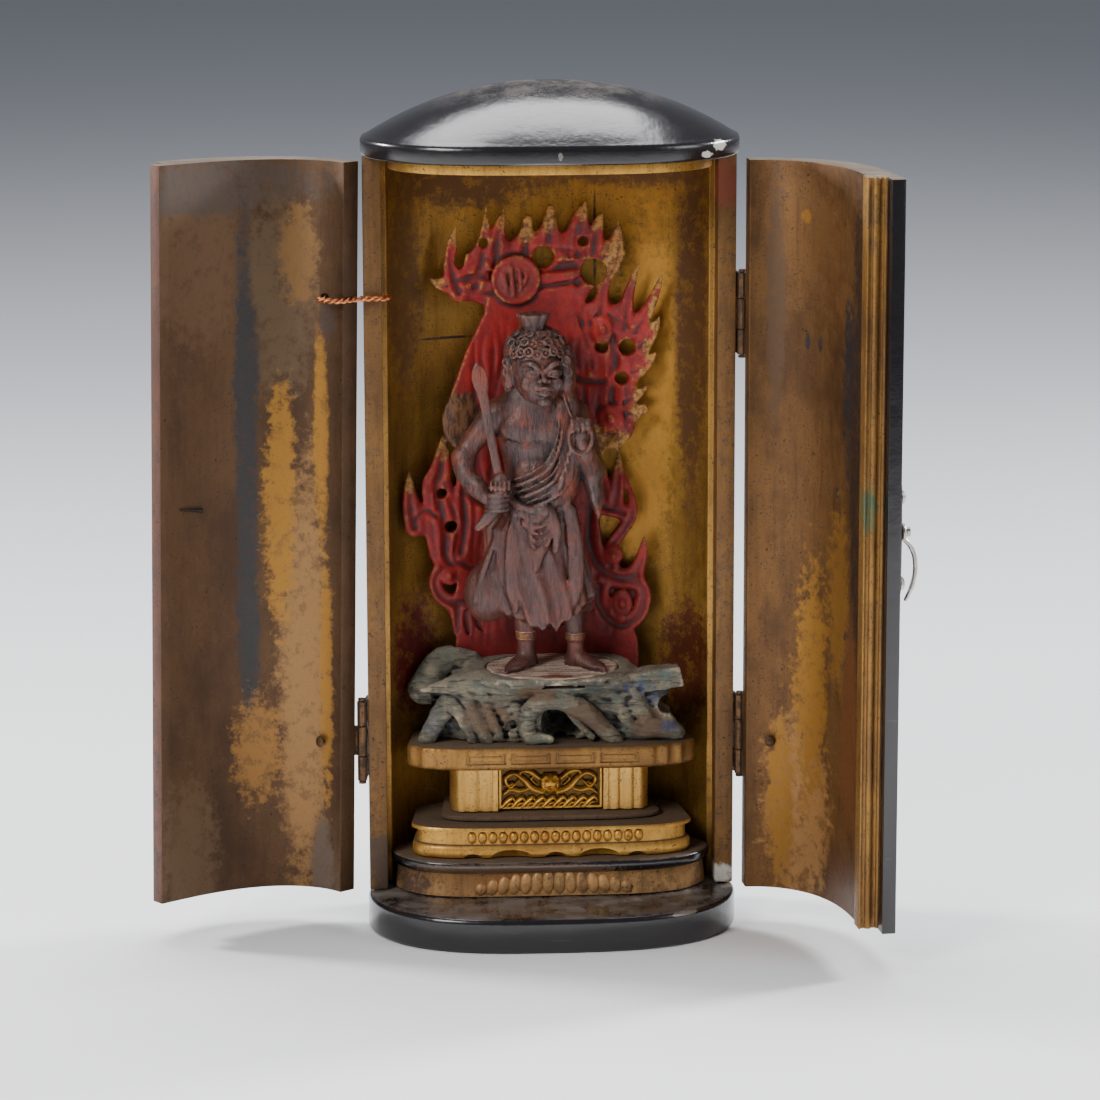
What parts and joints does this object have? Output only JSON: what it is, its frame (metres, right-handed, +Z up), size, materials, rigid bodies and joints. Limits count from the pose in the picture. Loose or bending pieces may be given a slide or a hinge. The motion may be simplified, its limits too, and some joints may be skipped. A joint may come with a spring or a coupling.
{
  "type": "folding shrine box",
  "caption": "Portable folding shrine of lacquered, gilded wood: two curved doors open on a flame-backed guardian figure on a rock and a tiered pedestal.",
  "frame": {"origin": "middle of the plinth's flat underside", "axes": "+Z up, -Y towards the open front, +X to the viewer's right when facing the open front"},
  "size_m": [0.1745, 0.0736, 0.1997],
  "materials": {
    "aged_gilding": "satin",
    "black_lacquer": "satin",
    "bright_gilding": "satin",
    "carved_wood": "satin",
    "copper_wire": "worn",
    "hinge_bronze": "worn",
    "latch_nickel": "worn",
    "red_paint": "satin",
    "rock_paint": "satin"
  },
  "bodies": {
    "case": {"base_plinth": "black_lacquer", "case_shell": "aged_gilding", "ceiling_board": "bright_gilding", "roof": "black_lacquer", "lower_dais": "aged_gilding", "bead_tier": "bright_gilding", "pedestal_step": "bright_gilding", "pedestal_waist": "bright_gilding", "waist_panel": "bright_gilding", "pedestal_top": "bright_gilding", "rock": "rock_paint", "guardian_figure": "carved_wood", "sword": "carved_wood", "flame_screen": "red_paint", "repair_wire": "copper_wire", "right_upper_hinge_case_leaf": "hinge_bronze", "right_upper_hinge_pin": "hinge_bronze", "right_lower_hinge_case_leaf": "hinge_bronze", "right_lower_hinge_pin": "hinge_bronze", "left_lower_hinge_case_leaf": "hinge_bronze", "left_lower_hinge_pin": "hinge_bronze"},
    "right_door": {"right_door": "aged_gilding", "right_door_strip": "aged_gilding", "right_door_rivet": "hinge_bronze", "latch_plate": "hinge_bronze", "latch_upper_rivet": "latch_nickel", "latch_lower_rivet": "latch_nickel", "hook_post": "latch_nickel", "right_upper_hinge_door_leaf": "hinge_bronze", "right_lower_hinge_door_leaf": "hinge_bronze"},
    "left_door": {"left_door": "aged_gilding", "left_door_rivet": "hinge_bronze", "catch_plate": "hinge_bronze", "catch_stud": "hinge_bronze", "left_lower_hinge_door_leaf": "hinge_bronze"},
    "hook": {"hook": "latch_nickel"}
  },
  "joints": [
    {"name": "right_door_hinge", "type": "hinge", "parent": "case", "child": "right_door", "pos_m": [0.04465, 0, 0], "axis": [0, 0, 1], "range_deg": [-95.5, 60]},
    {"name": "left_door_hinge", "type": "hinge", "parent": "case", "child": "left_door", "pos_m": [-0.04465, 0, 0.045], "axis": [0.0086, -0.0033, 1], "range_deg": [-15, 141], "deforming": ["repair_wire"]},
    {"name": "latch_hook", "type": "hinge", "parent": "right_door", "child": "hook", "pos_m": [0.07539, -0.04069, 0.1015], "axis": [0.9954, 0.0958, 0], "range_deg": [-95, 20]}
  ]
}
